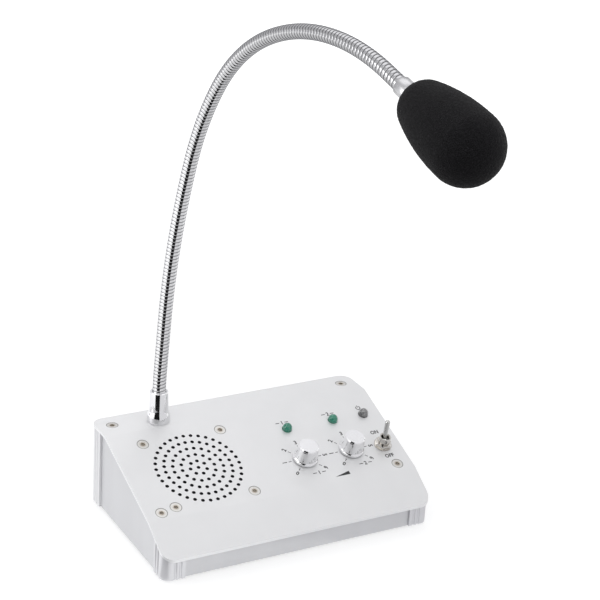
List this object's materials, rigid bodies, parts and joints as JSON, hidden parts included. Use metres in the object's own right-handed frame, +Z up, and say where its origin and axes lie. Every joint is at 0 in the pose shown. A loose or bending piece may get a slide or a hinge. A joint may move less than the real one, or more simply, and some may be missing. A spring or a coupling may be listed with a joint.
{
  "type": "teller window intercom",
  "caption": "Teller window intercom: sloped metal counter unit with loudspeaker grille, volume knobs, switch and gooseneck microphone.",
  "frame": {"origin": "on the counter, at the centre of the anti-slip pad's underside", "axes": "+Z up, -Y towards the clerk whom the microphone faces, +X to the clerk's right, the switch's side"},
  "size_m": [0.155, 0.2479, 0.2869],
  "materials": {
    "panel": "satin",
    "housing": "satin anodised",
    "bottom": "plain zinc plate",
    "pad": "matte",
    "screws": "nickel plated",
    "knobs": "turned, satin top",
    "chrome": "polished",
    "neck": "wound, bright",
    "sleeve": "satin chrome",
    "switch": "nickel plated",
    "foam": "open foam",
    "black_plastic": "matte",
    "lamp_green": "clear green",
    "lamp_clear": "smoky clear",
    "board": "green lacquer",
    "cloth": "black felt",
    "paper": "pressed paper",
    "steel_parts": "plated"
  },
  "bodies": {
    "base": {"top_panel": "panel", "front_left_post": "housing", "front_right_post": "housing", "rear_left_post": "housing", "rear_right_post": "housing", "front_sheet": "housing", "rear_sheet": "housing", "left_sheet": "housing", "right_sheet": "housing", "bottom_plate": "bottom", "anti_slip_pad": "pad", "corner_screws": "screws", "speaker_screws": "screws", "panel_nuts": "screws", "bottom_screws": "screws", "dust_cloth": "cloth", "speaker_basket": "steel_parts", "speaker_cone": "paper", "speaker_magnet": "steel_parts", "circuit_board": "board", "board_standoffs": "screws", "board_screws": "screws", "capacitors": "black_plastic", "heat_sink": "black_plastic", "inside_lamp": "lamp_green", "outside_lamp": "lamp_green", "power_lamp": "lamp_clear", "lamp_clips": "black_plastic", "inside_potentiometer": "steel_parts", "outside_potentiometer": "steel_parts", "potentiometer_nuts": "steel_parts", "switch_body": "switch", "switch_washer": "switch", "switch_nut": "switch", "gooseneck_socket": "chrome", "gooseneck_washer": "steel_parts", "gooseneck_nut": "steel_parts", "gooseneck_stretch_1": "neck", "power_jack": "black_plastic", "power_jack_nut": "steel_parts", "unit_jack": "black_plastic", "unit_jack_nut": "steel_parts"},
    "neck_2": {"gooseneck_stretch_2": "neck"},
    "neck_3": {"gooseneck_stretch_3": "neck"},
    "neck_4": {"gooseneck_stretch_4": "neck"},
    "neck_5": {"gooseneck_stretch_5": "neck"},
    "neck_6": {"gooseneck_stretch_6": "neck"},
    "microphone": {"gooseneck_stretch_7": "neck", "microphone_sleeve": "sleeve", "capsule_housing": "black_plastic", "microphone_capsule": "steel_parts", "foam_windscreen": "foam"},
    "inside_volume": {"inside_volume_shaft": "steel_parts", "inside_volume_knob": "knobs"},
    "outside_volume": {"outside_volume_shaft": "steel_parts", "outside_volume_knob": "knobs"},
    "on_off_lever": {"switch_lever": "chrome"}
  },
  "joints": [
    {"name": "neck_bend_1", "type": "hinge", "parent": "base", "child": "neck_2", "pos_m": [-0.04404, 0.03167, 0.10338], "axis": [0.9925, 0.1219, 0], "range_deg": [-25, 25]},
    {"name": "neck_sway_1", "type": "hinge", "parent": "neck_2", "child": "neck_3", "pos_m": [-0.04318, 0.02463, 0.15082], "axis": [0.1192, -0.9709, -0.2079], "range_deg": [-25, 25]},
    {"name": "neck_bend_2", "type": "hinge", "parent": "neck_3", "child": "neck_4", "pos_m": [-0.04167, 0.0123, 0.19717], "axis": [0.9925, 0.1219, 0], "range_deg": [-25, 25]},
    {"name": "neck_sway_2", "type": "hinge", "parent": "neck_4", "child": "neck_5", "pos_m": [-0.03907, -0.00888, 0.23997], "axis": [0.0998, -0.813, -0.5736], "range_deg": [-25, 25]},
    {"name": "neck_bend_3", "type": "hinge", "parent": "neck_5", "child": "neck_6", "pos_m": [-0.03469, -0.04448, 0.27115], "axis": [0.9925, 0.1219, 0], "range_deg": [-25, 25]},
    {"name": "neck_sway_3", "type": "hinge", "parent": "neck_6", "child": "microphone", "pos_m": [-0.02909, -0.09016, 0.28348], "axis": [0.0064, -0.0519, -0.9986], "range_deg": [-25, 25]},
    {"name": "inside_volume_turn", "type": "hinge", "parent": "base", "child": "inside_volume", "pos_m": [0.0202, -0.01175, 0.03759], "axis": [0, 0.342, -0.9397], "range_deg": [0, 270]},
    {"name": "outside_volume_turn", "type": "hinge", "parent": "base", "child": "outside_volume", "pos_m": [0.0482, -0.01175, 0.03759], "axis": [0, 0.342, -0.9397], "range_deg": [0, 270]},
    {"name": "on_off_throw", "type": "hinge", "parent": "base", "child": "on_off_lever", "pos_m": [0.0673, -0.01236, 0.03577], "axis": [1, 0, 0], "range_deg": [0, 22]}
  ]
}
